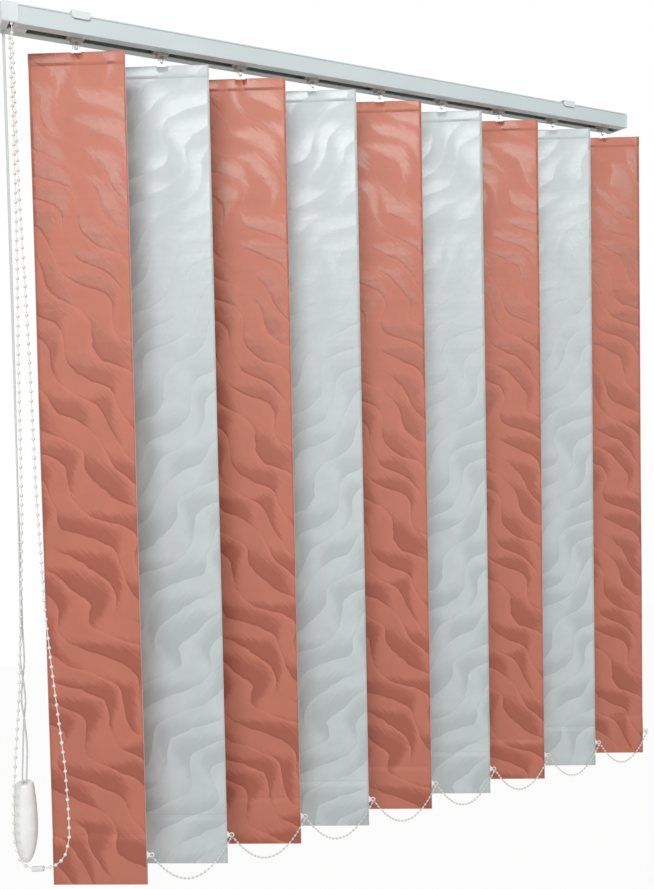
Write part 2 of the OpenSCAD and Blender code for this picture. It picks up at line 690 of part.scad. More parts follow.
// Stem: gear, shaft and the hook that the hanger hangs on
module stem(k) {
    top = rod_z + gear_h / 2;
    color("lightcyan", 0.7) translate([vane_x(k), 0, 0]) {
        translate([0, 0, top - gear_h]) linear_extrude(gear_h) gear_outline();
        rotate([0, 0, -rest_tilt]) {
            translate([0, 0, head_bot]) cylinder(h = top - gear_h - head_bot + eps, r = shaft_r);
            translate([-hook_w / 2, 0, 0]) along_x(hook_w) polygon([
                [-shaft_r * 0.8, head_bot + head_h], [-shaft_r * 0.8, head_bot], [hook_in, head_bot],
                [hook_in, bar_top], [-hook_in, bar_top], [-hook_in, tab_top - 0.6], [-hook_out, tab_top - 0.6],
                [-hook_out, bar_bot + 1], [-hook_out + 1, bar_bot], [hook_out - 1, bar_bot],
                [hook_out, bar_bot + 1], [hook_out, head_bot + head_h / 2], [shaft_r * 0.8, head_bot + head_h]]);
        }
    }
}

// Hanger: a flat plate in the top hem with a holed tab
module hanger(k) {
    tab_low = hanger_top - hanger_h / 2;
    color("lightcyan", 0.7) translate([vane_x(k), 0, 0]) rotate([0, 0, -rest_tilt])
        translate([0, hanger_t / 2, 0]) rotate([90, 0, 0]) linear_extrude(hanger_t) difference() {
            union() {
                translate([0, hanger_top - hanger_h]) round_rect(2 * hanger_half, hanger_h, 3);
                translate([0, tab_low]) round_rect(tab_w, tab_top - tab_low, 1.5);
            }
            translate([0, hole_bot]) round_rect(hole_w, hole_top - hole_bot, 0.8);
        }
}

// Vane: one strip of cloth folded round the hanger and the bottom weight
module vane(k) {
    notch_w = tab_w + 4;
    notch_h = 5;
    cloth_colour = k % 2 == 1 ? "lightcoral" : "whitesmoke";
    translate([vane_x(k), 0, 0]) rotate([0, 0, -rest_tilt]) {
        color(cloth_colour) difference() {
            translate([-vane_w / 2, 0, 0]) along_x(vane_w) {
                difference() {
                    stadium(top_in + cloth_t, vane_top - top_hem_h, vane_top);
                    stadium(top_in, vane_top - top_hem_h + cloth_t, vane_top - cloth_t);
                }
                difference() {
                    stadium(low_in + cloth_t, vane_bot, vane_bot + bottom_hem_h);
                    stadium(low_in, vane_bot + cloth_t, vane_bot + bottom_hem_h - cloth_t);
                }
                translate([-cloth_t / 2, vane_bot + bottom_hem_h - cloth_t / 2])
                    square([cloth_t, vane_drop - bottom_hem_h - top_hem_h + cloth_t]);
            }
            translate([-notch_w / 2, -notch_h, vane_top - notch_h]) cube([notch_w, 2 * notch_h, 2 * notch_h]);
        }
        color("white") bottom_weight();
    }
}

// Bottom weight: a plate in the pocket with a ring for the chain at one edge
module bottom_weight() {
    neck_h = 2.4;
    translate([0, weight_t / 2, 0]) rotate([90, 0, 0]) linear_extrude(weight_t) difference() {
        union() {
            translate([0, weight_bot]) round_rect(2 * weight_half, weight_h, 3);
            translate([weight_half - 2, ring_z - neck_h / 2]) square([ring_x - weight_half + 1, neck_h]);
            translate([ring_x, ring_z]) circle(ring_r);
        }
        translate([ring_x, ring_z]) circle(ring_hole);
    }
}

// Bottom chain: one string of small beads that hangs in a bow from ring to ring and goes square through each
ring_pass = weight_t / 2 + small_bead_r;
function ring_place(k) = [vane_x(k) + ring_x * cos(rest_tilt), -ring_x * sin(rest_tilt), ring_z];
through_ring = ring_pass * [sin(rest_tilt), cos(rest_tilt), 0];
bow_span = [vane_pitch, 0, 0] - 2 * through_ring;
BOW_STEPS = 40;
bow = [for (i = [0:BOW_STEPS]) let (t = i / BOW_STEPS) bow_span * t - [0, 0, 4 * chain_sag * t * (1 - t)]];
bow_ls = lengths(bow);
bow_l = bow_ls[BOW_STEPS];
bow_beads = floor(bow_l / small_bead_pitch);
bow_spare = (bow_l - (bow_beads - 1) * small_bead_pitch) / 2;
bow_points = [for (i = [0:bow_beads - 1]) along(bow, bow_ls, bow_spare + i * small_bead_pitch)];

module bottom_chain() {
    points = [for (k = [1:vane_count]) each concat([ring_place(k) - through_ring, ring_place(k) + through_ring],
        k < vane_count ? [for (p = bow_points) ring_place(k) + through_ring + p] : [])];
    beads = [for (k = [1:vane_count]) each concat([false, false], k < vane_count ? [for (p = bow_points) true] : [])];
    color("white") bead_string(points, beads, small_bead_r, small_link_r);
}

headrail();
control_end_cap();
return_end_cap();
ceiling_brackets();
tilt_rod();
chain_sprocket();
control_chain();
chain_connector();
draw_cord();
cord_weight();
control_pulley_near();
control_pulley_far();
return_pulley();
bottom_chain();
for (k = [1:vane_count]) {
    carrier(k);
    worm(k);
    stem(k);
    hanger(k);
    vane(k);
}
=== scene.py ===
"""Looks of a ceiling-fixed vertical blind: figured satin vanes, bead chains, draw cord and hardware."""

import json
import math

import bmesh
import bpy
import numpy as np
from bpy.props import FloatProperty, FloatVectorProperty, PointerProperty
from mathutils import Matrix, Vector

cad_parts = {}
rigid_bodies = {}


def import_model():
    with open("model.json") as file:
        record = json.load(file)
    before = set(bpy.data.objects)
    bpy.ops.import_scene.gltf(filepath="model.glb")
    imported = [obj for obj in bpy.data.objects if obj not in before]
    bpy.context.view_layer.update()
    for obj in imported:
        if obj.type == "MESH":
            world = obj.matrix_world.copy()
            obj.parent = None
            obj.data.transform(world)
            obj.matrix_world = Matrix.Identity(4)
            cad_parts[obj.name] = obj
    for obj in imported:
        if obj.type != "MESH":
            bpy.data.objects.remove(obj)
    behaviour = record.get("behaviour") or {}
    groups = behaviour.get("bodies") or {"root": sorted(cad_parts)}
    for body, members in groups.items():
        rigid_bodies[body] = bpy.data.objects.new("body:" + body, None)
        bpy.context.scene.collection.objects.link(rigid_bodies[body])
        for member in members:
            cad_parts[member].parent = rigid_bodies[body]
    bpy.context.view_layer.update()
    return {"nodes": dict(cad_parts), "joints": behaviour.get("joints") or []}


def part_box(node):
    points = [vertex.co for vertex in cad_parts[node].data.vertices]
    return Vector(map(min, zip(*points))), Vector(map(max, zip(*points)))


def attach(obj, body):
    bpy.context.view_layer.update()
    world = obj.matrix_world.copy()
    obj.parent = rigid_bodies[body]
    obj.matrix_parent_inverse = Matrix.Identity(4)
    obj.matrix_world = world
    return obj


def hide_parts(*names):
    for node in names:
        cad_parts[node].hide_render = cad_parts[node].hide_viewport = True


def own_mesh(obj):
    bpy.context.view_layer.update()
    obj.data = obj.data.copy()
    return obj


bl_info = {
    "name": "Vertical blind",
    "version": (1, 0, 0),
    "blender": (4, 5, 0),
    "location": "3D View > Sidebar > Blind",
    "description": "Cloth vanes, bead chains, draw cord and finishes of a ceiling-fixed vertical blind",
    "category": "Add Mesh",
}

MM = 0.001
TURN = 2 * math.pi
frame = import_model()
JOINTS = {joint["name"]: joint for joint in frame["joints"]}
VANES = sorted(int(name[5:]) for name in frame["nodes"] if name.startswith("vane_"))
AXIS_X = {k: JOINTS[f"vane_{k}_tilt"]["pos_m"][0] for k in VANES}
FIRST_X = AXIS_X[VANES[0]]
LAST_X = AXIS_X[VANES[-1]]
PITCH = (LAST_X - FIRST_X) / (len(VANES) - 1)
VANE_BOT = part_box("vane_1")[0].z
VANE_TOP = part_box("vane_1")[1].z
VANE_DROP = VANE_TOP - VANE_BOT


class VaneSettings(bpy.types.PropertyGroup):
    """Sizes and colours of the cloth vanes and of the weights in their pockets"""

    width: FloatProperty(
        name="Width", description="Width of a vane", default=127 * MM, unit="LENGTH")
    tilt: FloatProperty(
        name="Tilt", description="Angle of the vanes from the rail", default=math.radians(30),
        subtype="ANGLE")
    cloth: FloatProperty(
        name="Cloth", description="Thickness of the cloth", default=0.5 * MM, unit="LENGTH")
    top_hem: FloatProperty(
        name="Top hem", description="Height of the hem round the hanger", default=17 * MM, unit="LENGTH")
    bottom_hem: FloatProperty(
        name="Bottom hem", description="Height of the weight's pocket", default=68 * MM, unit="LENGTH")
    top_room: FloatProperty(
        name="Hem fold", description="Radius of the fold at the top", default=0.95 * MM, unit="LENGTH")
    low_room: FloatProperty(
        name="Pocket fold", description="Radius of the bottom fold", default=1.25 * MM, unit="LENGTH")
    notch: FloatProperty(
        name="Notch", description="Half width of the gap for the tab", default=7 * MM, unit="LENGTH")
    ripple: FloatProperty(
        name="Ripple", description="Depth of the cloth's soft waves", default=0.9 * MM, unit="LENGTH")
    repeat: FloatProperty(
        name="Repeat", description="Height of one repeat of the wave", default=187 * MM, unit="LENGTH")
    weight: FloatProperty(
        name="Weight", description="Thickness of the bottom weight", default=1.6 * MM, unit="LENGTH")
    ring_height: FloatProperty(
        name="Ring height", description="Height of the ring on the vane", default=40 * MM, unit="LENGTH")
    ring_reach: FloatProperty(
        name="Ring reach", description="Reach of the ring past the edge", default=6.5 * MM, unit="LENGTH")
    coral: FloatVectorProperty(
        name="Coral", description="Colour of the coral ground", default=(0.452, 0.142, 0.097),
        subtype="COLOR")
    coral_deep: FloatVectorProperty(
        name="Deep coral", description="Colour of the coral satin", default=(0.348, 0.083, 0.050),
        subtype="COLOR")
    white: FloatVectorProperty(
        name="White", description="Colour of the white ground", default=(0.503, 0.562, 0.57),
        subtype="COLOR")
    white_deep: FloatVectorProperty(
        name="Deep white", description="Colour of the white satin", default=(0.439, 0.496, 0.504),
        subtype="COLOR")
    weight_white: FloatVectorProperty(
        name="Weight white", description="Colour of the bottom weights", default=(0.80, 0.82, 0.82),
        subtype="COLOR")


class StringSettings(bpy.types.PropertyGroup):
    """Sizes and colours of the bead chains and of the draw cord"""

    bead: FloatProperty(
        name="Bead", description="Radius of a control bead", default=2.25 * MM, unit="LENGTH")
    bead_pitch: FloatProperty(
        name="Bead pitch", description="Distance between control beads", default=12 * MM, unit="LENGTH")
    thread: FloatProperty(
        name="Thread", description="Radius of the control thread", default=0.6 * MM, unit="LENGTH")
    small_bead: FloatProperty(
        name="Small bead", description="Radius of a bottom-chain bead", default=1.6 * MM, unit="LENGTH")
    small_pitch: FloatProperty(
        name="Small pitch", description="Distance between small beads", default=6 * MM, unit="LENGTH")
    small_thread: FloatProperty(
        name="Small thread", description="Radius of the bottom thread", default=0.45 * MM, unit="LENGTH")
    sag: FloatProperty(
        name="Sag", description="Drop of each bow of the bottom chain", default=42 * MM, unit="LENGTH")
    cord: FloatProperty(
        name="Cord", description="Diameter of the draw cord", default=2.2 * MM, unit="LENGTH")
    bead_white: FloatVectorProperty(
        name="Bead white", description="Colour of the control beads", default=(0.80, 0.80, 0.78),
        subtype="COLOR")
    small_white: FloatVectorProperty(
        name="Small bead white", description="Colour of the bottom chain", default=(0.70, 0.69, 0.65),
        subtype="COLOR")
    cord_white: FloatVectorProperty(
        name="Cord white", description="Colour of the draw cord", default=(0.74, 0.78, 0.78),
        subtype="COLOR")


class HardwareSettings(bpy.types.PropertyGroup):
    """Colours of the rail and of the moulded pieces"""

    rail: FloatVectorProperty(
        name="Rail", description="Paint of the headrail", default=(0.605, 0.675, 0.69), subtype="COLOR")
    clips: FloatVectorProperty(
        name="Clips", description="Paint of the ceiling clips", default=(0.72, 0.76, 0.78),
        subtype="COLOR")
    caps: FloatVectorProperty(
        name="End caps", description="Colour of the end caps", default=(0.70, 0.75, 0.77),
        subtype="COLOR")
    rod: FloatVectorProperty(
        name="Rod", description="Metal of the tilt rod", default=(0.70, 0.71, 0.72), subtype="COLOR")
    drop: FloatVectorProperty(
        name="Cord weight", description="Colour of the cord weight", default=(0.90, 0.91, 0.90),
        subtype="COLOR")
    connector: FloatVectorProperty(
        name="Connector", description="Colour of the chain connector", default=(0.74, 0.80, 0.80),
        subtype="COLOR")
    carriers: FloatVectorProperty(
        name="Carriers", description="Colour of the carriers", default=(0.44, 0.42, 0.385),
        subtype="COLOR")
    gears: FloatVectorProperty(
        name="Gears", description="Colour of worms, sprocket and pulleys", default=(0.62, 0.62, 0.60),
        subtype="COLOR")


class StageSettings(bpy.types.PropertyGroup):
    """Camera, lamp, even light and floor"""

    camera_at: FloatVectorProperty(
        name="Camera", description="Place of the camera", default=(-0.7077, -1.2232, -0.5109),
        subtype="TRANSLATION")
    yaw: FloatProperty(
        name="Yaw", description="Turn of the camera to the right", default=math.radians(28.089),
        subtype="ANGLE")
    pitch: FloatProperty(
        name="Pitch", description="Tilt of the camera upwards", default=math.radians(-2.256),
        subtype="ANGLE")
    roll: FloatProperty(
        name="Roll", description="Roll of the camera", default=math.radians(-1.119), subtype="ANGLE")
    lens: FloatProperty(
        name="Lens", description="Focal length on a long side of 36 mm", default=37.46)
    floor: FloatProperty(
        name="Floor", description="Height of the floor below the ceiling", default=-2.4, unit="LENGTH")
    floor_half: FloatProperty(
        name="Floor reach", description="Half the side of the floor", default=6.0, unit="LENGTH")
    key: FloatProperty(
        name="Key", description="Power of the large soft lamp in front", default=138.0)
    key_at: FloatVectorProperty(
        name="Key place", description="Place of the lamp from the middle of the vanes",
        default=(-2.08, -3.55, 1.89), subtype="TRANSLATION")
    key_width: FloatProperty(
        name="Key width", description="Width of the lamp", default=3.9, unit="LENGTH")
    key_height: FloatProperty(
        name="Key height", description="Height of the lamp", default=1.5, unit="LENGTH")
    fill: FloatProperty(
        name="Fill", description="Strength of the even light all round", default=0.42)


class Wire:
    """A number on its way through a material's nodes, with the usual operators."""

    def __init__(self, finish, socket):
        self.finish = finish
        self.socket = socket

    def maths(self, operation, *terms):
        return self.finish.node("ShaderNodeMath", {"operation": operation}, dict(enumerate(terms)))

    def __add__(self, other):
        return self.maths("ADD", self, other)

    def __radd__(self, other):
        return self.maths("ADD", other, self)

    def __sub__(self, other):
        return self.maths("SUBTRACT", self, other)

    def __rsub__(self, other):
        return self.maths("SUBTRACT", other, self)

    def __mul__(self, other):
        return self.maths("MULTIPLY", self, other)

    def __rmul__(self, other):
        return self.maths("MULTIPLY", other, self)

    def __truediv__(self, other):
        return self.maths("DIVIDE", self, other)

    def __abs__(self):
        return self.maths("ABSOLUTE", self)

    def fraction(self):
        return self.maths("FRACT", self)

    def sine(self):
        return self.maths("SINE", self)

    def largest(self, other):
        return self.maths("MAXIMUM", self, other)

    def step(self, low, high):
        """Smooth step from 0 at low to 1 at high."""
        return self.finish.node(
            "ShaderNodeMapRange", {"interpolation_type": "SMOOTHSTEP"},
            {"Value": self, "From Min": low, "From Max": high})


class Finish:
    """A material built around one Principled shader."""

    def __init__(self, name, **constants):
        self.material = bpy.data.materials.new(name)
        self.material.use_nodes = True
        self.tree = self.material.node_tree
        self.shader = self.tree.nodes["Principled BSDF"]
        titles = {key: key.replace("_", " ").title().replace("Ior", "IOR") for key in constants}
        self.set({titles[key]: value for key, value in constants.items()})

    def plug(self, socket, value):
        if isinstance(value, Wire):
            self.tree.links.new(value.socket, socket)
        elif socket.type == "RGBA":
            socket.default_value = (*value[:3], 1.0)
        else:
            socket.default_value = value

    def set(self, inputs):
        for name, value in inputs.items():
            self.plug(self.shader.inputs[name], value)

    def node(self, kind, settings=None, inputs=None, out=0):
        """Adds a node of any kind: its settings first, then the values or links of its sockets."""
        node = self.tree.nodes.new(kind)
        for name, value in (settings or {}).items():
            setattr(node, name, value)
        for name, value in (inputs or {}).items():
            self.plug(node.inputs[name], value)
        return Wire(self, node.outputs[out])

    def uv(self, name):
        """The two coordinates of a UV map, and the map itself."""
        place = self.node("ShaderNodeUVMap", {"uv_map": name})
        u, v = (self.node("ShaderNodeSeparateXYZ", None, {0: place}, axis) for axis in (0, 1))
        return u, v, place

    def point(self, x, y, z=0.0):
        return self.node("ShaderNodeCombineXYZ", None, {0: x, 1: y, 2: z})

    def objects(self):
        return self.node("ShaderNodeTexCoord", None, None, "Object")

    def stretched(self, scale):
        """Object coordinates scaled along each axis."""
        return self.node("ShaderNodeMapping", None, {"Vector": self.objects(), "Scale": scale})

    def noise(self, place, scale, detail=2.0, roughness=0.5):
        return self.node(
            "ShaderNodeTexNoise", None,
            {"Vector": place, "Scale": scale, "Detail": detail, "Roughness": roughness})

    def mix(self, share, a, b):
        """Colour a where share is 0 and colour b where it is 1."""
        return self.node("ShaderNodeMix", {"data_type": "RGBA"}, {0: share, 6: a, 7: b}, 2)

    def bump(self, height, distance, strength=1.0):
        inputs = {"Height": height, "Distance": distance, "Strength": strength}
        return self.node("ShaderNodeBump", None, inputs)


def shade(colour, factor):
    """A colour made darker or lighter by a factor."""
    return tuple(channel * factor for channel in colour)


def figured_satin(name, settings, colour, deep, shine, flow, crisp, gloss):
    """Satin cloth with a woven wave, from its ground colour, its deep colour and the tint of its shine.

    The wave runs in bands that fall across the width, bent by a sine along them and by two noises. Each
    band has a crisp lower edge, with painted shade in the crease along it and a painted highlight just
    above.
    Along it, satin tongues come and go with brushed ends, set off from band to band by a random share.
    Satin stretches are deeper and glossier than the ground, so they shine where a lamp is mirrored and look
    darker elsewhere. Soft creases cross the upper part of the strip. A painted highlight runs along both
    cut edges.
    Flow is 1 or -1, the side to which the bands fall, crisp is the wave's contrast and gloss the polish of
    the satin.
    """
    fall = math.radians(47)
    bands_per_repeat = 4
    sway_length, sway_depth = 125 * MM, 9.5 * MM
    slow_depth, quick_depth = 60 * MM, 10 * MM
    tongue_length = 120 * MM
    warp, weft = 0.7 * MM, 0.9 * MM
    seam_core, seam_rim = 0.4 * MM, 1.4 * MM
    edge_core, edge_rim = 0.5 * MM, 1.1 * MM
    creased_to, smooth_from = 150 * MM, 700 * MM
    soft = 0.62 - 0.3 * crisp
    finish = Finish(
        name, specular_ior_level=0.9, specular_tint=shine, sheen_weight=0.05, sheen_roughness=0.4,
        coat_roughness=0.27, coat_ior=1.6)

    across, down, _ = finish.uv("cloth")
    print_x, print_y, _ = finish.uv("print")
    run = print_x * flow
    place = finish.point(run, print_y)
    ahead = run * math.cos(fall) - print_y * math.sin(fall)
    beside = run * math.sin(fall) + print_y * math.cos(fall)
    slow = finish.noise(place, 9.0, 1.0) - 0.5
    quick = finish.noise(place, 34.0, 2.0) - 0.5

    # The bands, the share of the way across each one, and a chance value for each
    sway = (ahead * (TURN / sway_length) + slow * 5.0).sine()
    bend = sway * sway_depth + slow * slow_depth + quick * quick_depth
    band = (beside + bend) / (settings.repeat * math.cos(fall) / bands_per_repeat)
    share = band.fraction()
    chance = finish.node("ShaderNodeTexWhiteNoise", {"noise_dimensions": "1D"}, {"W": band - share})

    # Satin tongues with brushed ends, the crease under a band with its painted shade, and the painted
    # highlight above it
    strokes = finish.noise(finish.point(ahead * 34.0, beside * 300.0), 1.0, 3.0, 0.6) - 0.5
    tongue = ((ahead / tongue_length + chance * 3.0 + slow * 0.8) * TURN).sine()
    reach = tongue * 0.6 + strokes * 1.2 + quick * 0.5 + 0.45 - share * 1.3
    satin = reach.step(-soft, soft + 0.05)
    drawn = (tongue + chance - 0.2).step(-0.8, 0.6)
    crease = (1 - share.step(0.0, 0.13)) * drawn
    lift_highlight = share.step(0.75, 0.98) * drawn

    # Threads, soft creases, the cut edges with their painted highlight, and the two seams
    mottle = finish.noise(place, 26.0, 4.0, 0.6)
    threads = (print_y * (TURN / weft)).sine() * (print_x * (TURN / warp)).sine()
    upper = 1 - down.step(creased_to, smooth_from)
    folds = finish.noise(finish.point(across * 5.0, down * 46.0), 1.0, 2.0) * upper
    edge = abs(across).step(settings.width / 2 - edge_rim, settings.width / 2 - edge_core)
    top_seam = 1 - abs(down - settings.top_hem).step(seam_core, seam_rim)
    low_seam = 1 - abs(down - (VANE_DROP - settings.bottom_hem)).step(seam_core, seam_rim)
    seam = top_seam.largest(low_seam)

    ground = finish.mix(mottle.step(0.3, 0.7), colour, shade(colour, 1.08))
    # Painted highlight above each line, then painted shade in the crease under it
    lit = finish.mix(lift_highlight * crisp, ground, shade(colour, 1.18))
    toned = finish.mix(satin, lit, deep)
    crease_shaded = finish.mix(crease * (0.55 * crisp), toned, shade(deep, 0.76))
    seamed = finish.mix(seam * 0.18, crease_shaded, shade(colour, 0.8))
    # Painted highlight on both cut edges of the strip
    pale = tuple(0.55 * channel + 0.4 for channel in colour)
    weave = satin * (0.6 * crisp) - crease * crisp - seam * 0.6 + threads * 0.10 + folds * 3.6
    finish.set({
        "Base Color": finish.mix(edge * 0.7, seamed, pale),
        "Roughness": 0.56 - satin * 0.27 + seam * 0.1,
        "Coat Weight": 0.04 + satin * gloss,
        "Normal": finish.bump(weave, 0.3 * MM, 0.8),
    })
    return finish.material


def moulded(name, colour, roughness=0.35, **constants):
    """Moulded plastic: soft tone changes, a faint flow texture and small scuffs in the gloss."""
    finish = Finish(name, **constants)
    place = finish.objects()
    tone = finish.noise(place, 60.0, 3.0)
    scuffs = finish.noise(place, 900.0, 2.0, 0.6)
    finish.set({
        "Base Color": finish.mix(tone.step(0.3, 0.7), shade(colour, 0.96), shade(colour, 1.03)),
        "Roughness": roughness - 0.06 + scuffs * 0.14,
        "Normal": finish.bump(scuffs, 0.02 * MM, 0.5),
    })
    return finish.material


def painted(name, colour):
    """Satin paint on drawn metal: fine orange peel and faint lines along the extrusion."""
    finish = Finish(name, specular_ior_level=0.5)
    place = finish.objects()
    drawn = finish.noise(finish.stretched((2.0, 900.0, 900.0)), 1.0, 3.0)
    peel = finish.noise(place, 1400.0, 2.0)
    tone = finish.noise(place, 9.0, 3.0)
    finish.set({
        "Base Color": finish.mix(tone.step(0.3, 0.7), shade(colour, 0.97), shade(colour, 1.02)),
        "Roughness": 0.36 + peel * 0.1,
        "Normal": finish.bump(peel * 0.6 + drawn * 0.5, 0.02 * MM, 0.5),
    })
    return finish.material


def drawn_metal(name, colour):
    """Bare drawn metal with fine lines along the bar."""
    finish = Finish(name, metallic=1.0)
    lines = finish.noise(finish.stretched((4.0, 2500.0, 2500.0)), 1.0, 3.0)
    finish.set({
        "Base Color": finish.mix(lines, shade(colour, 0.9), colour),
        "Roughness": 0.28 + lines * 0.2,
        "Normal": finish.bump(lines, 0.02 * MM, 0.4),
    })
    return finish.material


def clear_plastic(name):
    """Clear moulded plastic with a slight haze."""
    finish = Finish(name, transmission_weight=0.82, ior=1.46)
    haze = finish.noise(finish.objects(), 350.0, 3.0)
    finish.set({
        "Base Color": finish.mix(haze, (0.80, 0.84, 0.85), (0.92, 0.95, 0.96)),
        "Roughness": 0.10 + haze * 0.12,
    })
    return finish.material


def braid(name, colour, diameter):
    """Braided cord: two crossing sets of six strands wound round it, once in 2.2 diameters."""
    strands_each_way = 6
    pitch = 2.2 * diameter
    finish = Finish(name, specular_ior_level=0.3, sheen_weight=0.2)
    turn, along_it, place = finish.uv("tube")
    left = (turn * (TURN * strands_each_way) + along_it * (TURN / pitch)).sine()
    right = (turn * (TURN * strands_each_way) - along_it * (TURN / pitch)).sine()
    strands = left.largest(right)
    fuzz = finish.noise(place, 2200.0, 2.0)
    finish.set({
        # Painted shade in the grooves between the strands
        "Base Color": finish.mix(strands.step(-0.4, 0.7), shade(colour, 0.72), colour),
        "Roughness": 0.7 + fuzz * 0.15,
        "Normal": finish.bump(strands + fuzz * 0.4, 0.12 * MM, 0.7),
    })
    return finish.material


def shown(name, mesh, material):
    """A smooth-shaded object at the origin that shows a mesh in one material."""
    mesh.polygons.foreach_set("use_smooth", np.ones(len(mesh.polygons), bool))
    mesh.materials.append(material)
    mesh.update()
    piece = bpy.data.objects.new(name, mesh)
    bpy.context.scene.collection.objects.link(piece)
    return piece


def add_mesh(name, points, faces, maps, material):
    """A piece from points and faces; maps holds one (points, 2) array for each UV map."""
    mesh = bpy.data.meshes.new(name)
    mesh.from_pydata(np.asarray(points, float).reshape(-1, 3).tolist(), [], faces)
    corners = np.zeros(len(mesh.loops), np.int32)
    mesh.loops.foreach_get("vertex_index", corners)
    for title, values in maps.items():
        layer = mesh.uv_layers.new(name=title)
        layer.data.foreach_set("uv", np.asarray(values, np.float32)[corners].ravel())
    return shown(name, mesh, material)


def grid_faces(rows, columns, wrap_rows=False, wrap_columns=False):
    """Quads of a grid of points in row order; wrapping joins the last row or column to the first."""
    row, column = np.meshgrid(
        np.arange(rows if wrap_rows else rows - 1), np.arange(columns if wrap_columns else columns - 1),
        indexing="ij")
    start, after = row * columns, (row + 1) % rows * columns
    right = (column + 1) % columns
    return np.stack([start + column, start + right, after + right, after + column], -1).reshape(-1, 4)


def closed_tube(rings):
    """Points and faces of a tube through rings of points, closed by a fan round the middle of each end."""
    rows, columns = rings.shape[:2]
    points = np.concatenate([rings.reshape(-1, 3), rings[:1].mean(1), rings[-1:].mean(1)])
    turn = np.arange(columns)
    after = (turn + 1) % columns
    first = np.full(columns, rows * columns)
    end = (rows - 1) * columns
    fans = np.concatenate([
        np.stack([first, after, turn], -1), np.stack([first + 1, end + turn, end + after], -1)])
    return points, grid_faces(rows, columns, wrap_columns=True).tolist() + fans.tolist()


def joined(shapes):
    """Points and faces of several shapes in one list each."""
    points, faces, count = [], [], 0
    for shape_points, shape_faces in shapes:
        points.append(shape_points.reshape(-1, 3))
        faces += [[corner + count for corner in face] for face in shape_faces]
        count += len(points[-1])
    return np.concatenate(points), faces


def unit(vectors):
    return vectors / np.linalg.norm(vectors, axis=-1, keepdims=True)


def lengths(points):
    """Distance along a line of points to each of them."""
    return np.concatenate([[0.0], np.cumsum(np.linalg.norm(np.diff(points, axis=0), axis=1))])


def along(points, distances):
    """Points at given distances along a line of straight stretches."""
    reach = lengths(points)
    return np.stack([np.interp(distances, reach, points[:, axis]) for axis in range(3)], -1)


def rounded(points, spacing):
    """A smooth line through points: a cubic on each stretch whose slopes never overshoot the points."""
    reach = lengths(points)
    step = np.diff(reach)[:, None]
    slope = np.diff(points, axis=0) / step
    before, after = slope[:-1], slope[1:]
    wide, near = step[1:] * 2 + step[:-1], step[1:] + step[:-1] * 2
    safe = np.where(before * after > 0, 1.0, 0.0)
    middle = safe * (wide + near) / (wide / np.where(safe, before, 1) + near / np.where(safe, after, 1))
    tangent = np.concatenate([slope[:1], middle, slope[-1:]])
    place = np.linspace(0, reach[-1], int(reach[-1] / spacing) + 1)
    index = np.clip(np.searchsorted(reach, place, side="right") - 1, 0, len(step) - 1)
    span = step[index]
    t = (place[:, None] - reach[index][:, None]) / span
    return ((1 + 2 * t) * (1 - t) ** 2 * points[index] + t * (1 - t) ** 2 * span * tangent[index]
            + t * t * (3 - 2 * t) * points[index + 1] + t * t * (t - 1) * span * tangent[index + 1])


def carried_sides(ways):
    """A normal for each direction in a row, turned as little as possible from one to the next."""
    side = unit(np.cross(ways[0], [0.3, 1.0, 0.1]))
    sides = []
    for way in ways:
        side = unit(side - way * (side @ way))
        sides.append(side)
    return np.array(sides)


def tube(name, line, radii, sides, material):
    """A round tube carried along a line: point = line + radius * (cos a * normal + sin a * binormal)."""
    ways = unit(np.gradient(line, axis=0))
    normal = carried_sides(ways)[:, None]
    binormal = np.cross(ways, normal[:, 0])[:, None]
    share = np.arange(sides) / sides
    angle = (TURN * share)[None, :, None]
    radius = np.broadcast_to(radii, len(line))[:, None, None]
    rings = line[:, None] + radius * (np.cos(angle) * normal + np.sin(angle) * binormal)
    reach = lengths(line)
    uv = np.stack(np.broadcast_arrays(share, reach[:, None]), -1).reshape(-1, 2)
    uv = np.concatenate([uv, [[0, 0], [0, reach[-1]]]])
    return add_mesh(name, *closed_tube(rings), {"tube": uv}, material)


def bead_line(centres, beads, bead, thread):
    """Stations and radii of a string of beads, from the centres and a 1 or 0 for a bead or bare thread.

    Between two centres the stations are closest near the beads. The radius is the sphere's round each
    bead, the root of bead squared less distance squared, and the thread's elsewhere.
    """
    share = np.array([0, 0.4, 0.75, 0.95, 1.04])
    gap = np.linalg.norm(np.diff(centres, axis=0), axis=1)[:, None]
    sizes = np.where(beads, bead, thread)[:, None]
    off_first = share * sizes[:-1]
    off_second = (share[::-1] * sizes[1:])[:, :-1]
    place = np.concatenate([off_first, gap - off_second], 1)
    stations = centres[:-1, None] + np.diff(centres, axis=0)[:, None] * (place / gap)[..., None]
    ball = bead * beads[:, None]
    squared = np.concatenate([ball[:-1] ** 2 - off_first ** 2, ball[1:] ** 2 - off_second ** 2], 1)
    radii = np.maximum(np.sqrt(np.maximum(squared, 0)), thread)
    return np.concatenate([stations.reshape(-1, 3), centres[-1:]]), np.append(radii, sizes[-1])


def turned(points, axis_x, tilt):
    """Points of a vane's own frame (along its width, along its normal, up) in the part's frame."""
    x, n, z = points[..., 0], points[..., 1], points[..., 2]
    return np.stack([axis_x + x * math.cos(tilt) + n * math.sin(tilt),
                     -x * math.sin(tilt) + n * math.cos(tilt), z], -1)


def from_first(points):
    """A route in millimetres, from the first vane's axis and top fold."""
    return np.array(points, float) * MM + [FIRST_X, 0, VANE_TOP]


